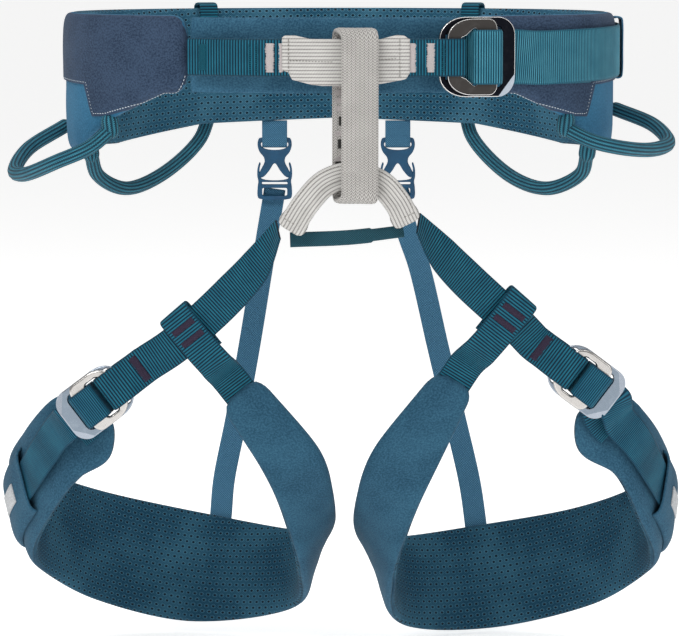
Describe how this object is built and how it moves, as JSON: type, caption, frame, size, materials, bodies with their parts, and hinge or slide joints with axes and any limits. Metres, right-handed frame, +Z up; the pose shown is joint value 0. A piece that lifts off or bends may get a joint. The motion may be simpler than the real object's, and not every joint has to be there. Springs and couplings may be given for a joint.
{
  "type": "climbing harness",
  "caption": "Sport climbing harness with a padded waist belt, buckled webbing, tie-in points, belay loop, adjustable leg loops on elastic risers and gear loops.",
  "frame": {"origin": "middle of the waist opening at the mid-height of the front webbing", "axes": "+Z up as worn, front of the harness (belay loop) towards -Y, +X towards the viewer's right when looking at the front"},
  "size_m": [0.3936, 0.2482, 0.3757],
  "materials": {
    "webbing": "woven polyester webbing, ribbed",
    "fabric": "smooth woven shell fabric",
    "panel": "plain woven reinforcing fabric",
    "mesh": "perforated spacer mesh",
    "foam": "closed-cell foam core",
    "sleeve": "coarse light grey protective webbing",
    "belay": "dense ribbed webbing",
    "cord": "braided sheath over a plastic core",
    "elastic": "elastic webbing",
    "clip": "moulded plastic, satin",
    "label": "plain woven label",
    "black": "black anodised, satin",
    "grey": "dark grey anodised, satin",
    "silver": "polished",
    "slate": "blue-grey anodised, satin"
  },
  "bodies": {
    "waist": {"waist_shell": "fabric", "waist_foam": "foam", "waist_lining": "mesh", "waist_load_webbing": "webbing", "waist_tongue": "fabric", "waist_panel_left": "panel", "waist_panel_right": "panel", "front_webbing": "webbing", "tie_in_sleeve": "sleeve", "tie_in_arch": "sleeve", "cross_strap": "webbing", "waist_strap": "webbing", "strap_keeper": "elastic", "gear_tab_front_left": "webbing", "gear_tab_front_right": "webbing", "rear_tab_left": "webbing", "rear_tab_right": "webbing", "riser_tab_left": "elastic", "riser_hook_left": "clip", "riser_clip_left": "clip", "riser_elastic_left": "elastic", "riser_tab_right": "elastic", "riser_hook_right": "clip", "riser_clip_right": "clip", "riser_elastic_right": "elastic"},
    "belay_loop": {"belay_loop": "belay"},
    "waist_buckle_frame": {"waist_buckle_frame": "black", "waist_buckle_ring": "grey"},
    "gear_loop_front_left": {"gear_loop_front_left": "cord"},
    "gear_loop_front_right": {"gear_loop_front_right": "cord"},
    "gear_loop_rear_left": {"gear_loop_rear_left": "cord"},
    "gear_loop_rear_right": {"gear_loop_rear_right": "cord"},
    "leg_left": {"leg_shell_left": "fabric", "leg_foam_left": "foam", "leg_lining_left": "mesh", "leg_strap_left": "webbing", "leg_branch_left": "webbing", "leg_adjust_left": "webbing", "leg_pocket_left": "fabric", "leg_label_left": "label"},
    "leg_buckle_left_frame": {"leg_buckle_left_frame": "slate", "leg_buckle_left_ring": "silver"},
    "leg_right": {"leg_shell_right": "fabric", "leg_foam_right": "foam", "leg_lining_right": "mesh", "leg_strap_right": "webbing", "leg_branch_right": "webbing", "leg_adjust_right": "webbing", "leg_pocket_right": "fabric", "leg_label_right": "label"},
    "leg_buckle_right_frame": {"leg_buckle_right_frame": "slate", "leg_buckle_right_ring": "silver"}
  },
  "joints": [
    {"name": "belay_loop_twist", "type": "hinge", "parent": "waist", "child": "belay_loop", "pos_m": [0.0085, -0.1235, -0.03], "axis": [0, 0, 1], "range_deg": [-6, 6]},
    {"name": "waist_buckle_lift", "type": "hinge", "parent": "waist", "child": "waist_buckle_frame", "pos_m": [0.05556, -0.11488, -0.0007], "axis": [0, 0, -1], "range_deg": [0, 5]},
    {"name": "gear_loop_front_left_swing", "type": "hinge", "parent": "waist", "child": "gear_loop_front_left", "pos_m": [-0.1441, -0.0204, -0.0438], "axis": [-0.3384, 0.9407, -0.0245], "range_deg": [-15, 20], "stiffness_Nm_per_rad": 0.15},
    {"name": "gear_loop_front_right_swing", "type": "hinge", "parent": "waist", "child": "gear_loop_front_right", "pos_m": [0.1435, -0.0226, -0.0383], "axis": [-0.3616, -0.9299, -0.0672], "range_deg": [-15, 20], "stiffness_Nm_per_rad": 0.15},
    {"name": "gear_loop_rear_left_swing", "type": "hinge", "parent": "waist", "child": "gear_loop_rear_left", "pos_m": [-0.1124, 0.0735, -0.0515], "axis": [0.665, 0.7174, 0.2075], "range_deg": [-15, 25], "stiffness_Nm_per_rad": 0.15},
    {"name": "gear_loop_rear_right_swing", "type": "hinge", "parent": "waist", "child": "gear_loop_rear_right", "pos_m": [0.1111, 0.0745, -0.0515], "axis": [0.6766, -0.707, -0.2056], "range_deg": [-15, 25], "stiffness_Nm_per_rad": 0.15},
    {"name": "leg_left_swing", "type": "hinge", "parent": "waist", "child": "leg_left", "pos_m": [-0.0334, -0.1185, -0.094], "axis": [1, 0, 0], "range_deg": [-20, 12], "stiffness_Nm_per_rad": 2, "springref_deg": 2.86, "deforming": ["riser_elastic_left"]},
    {"name": "leg_right_swing", "type": "hinge", "parent": "waist", "child": "leg_right", "pos_m": [0.0428, -0.1185, -0.0905], "axis": [1, 0, 0], "range_deg": [-20, 12], "stiffness_Nm_per_rad": 2, "springref_deg": 2.86, "deforming": ["riser_elastic_right"]},
    {"name": "leg_buckle_left_lift", "type": "hinge", "parent": "leg_left", "child": "leg_buckle_left_frame", "pos_m": [-0.1212, -0.0833, -0.182], "axis": [-0.6, 0, 0.8], "range_deg": [0, 5]},
    {"name": "leg_buckle_right_lift", "type": "hinge", "parent": "leg_right", "child": "leg_buckle_right_frame", "pos_m": [0.1224, -0.0833, -0.1705], "axis": [-0.6, 0, -0.8], "range_deg": [0, 5]}
  ]
}
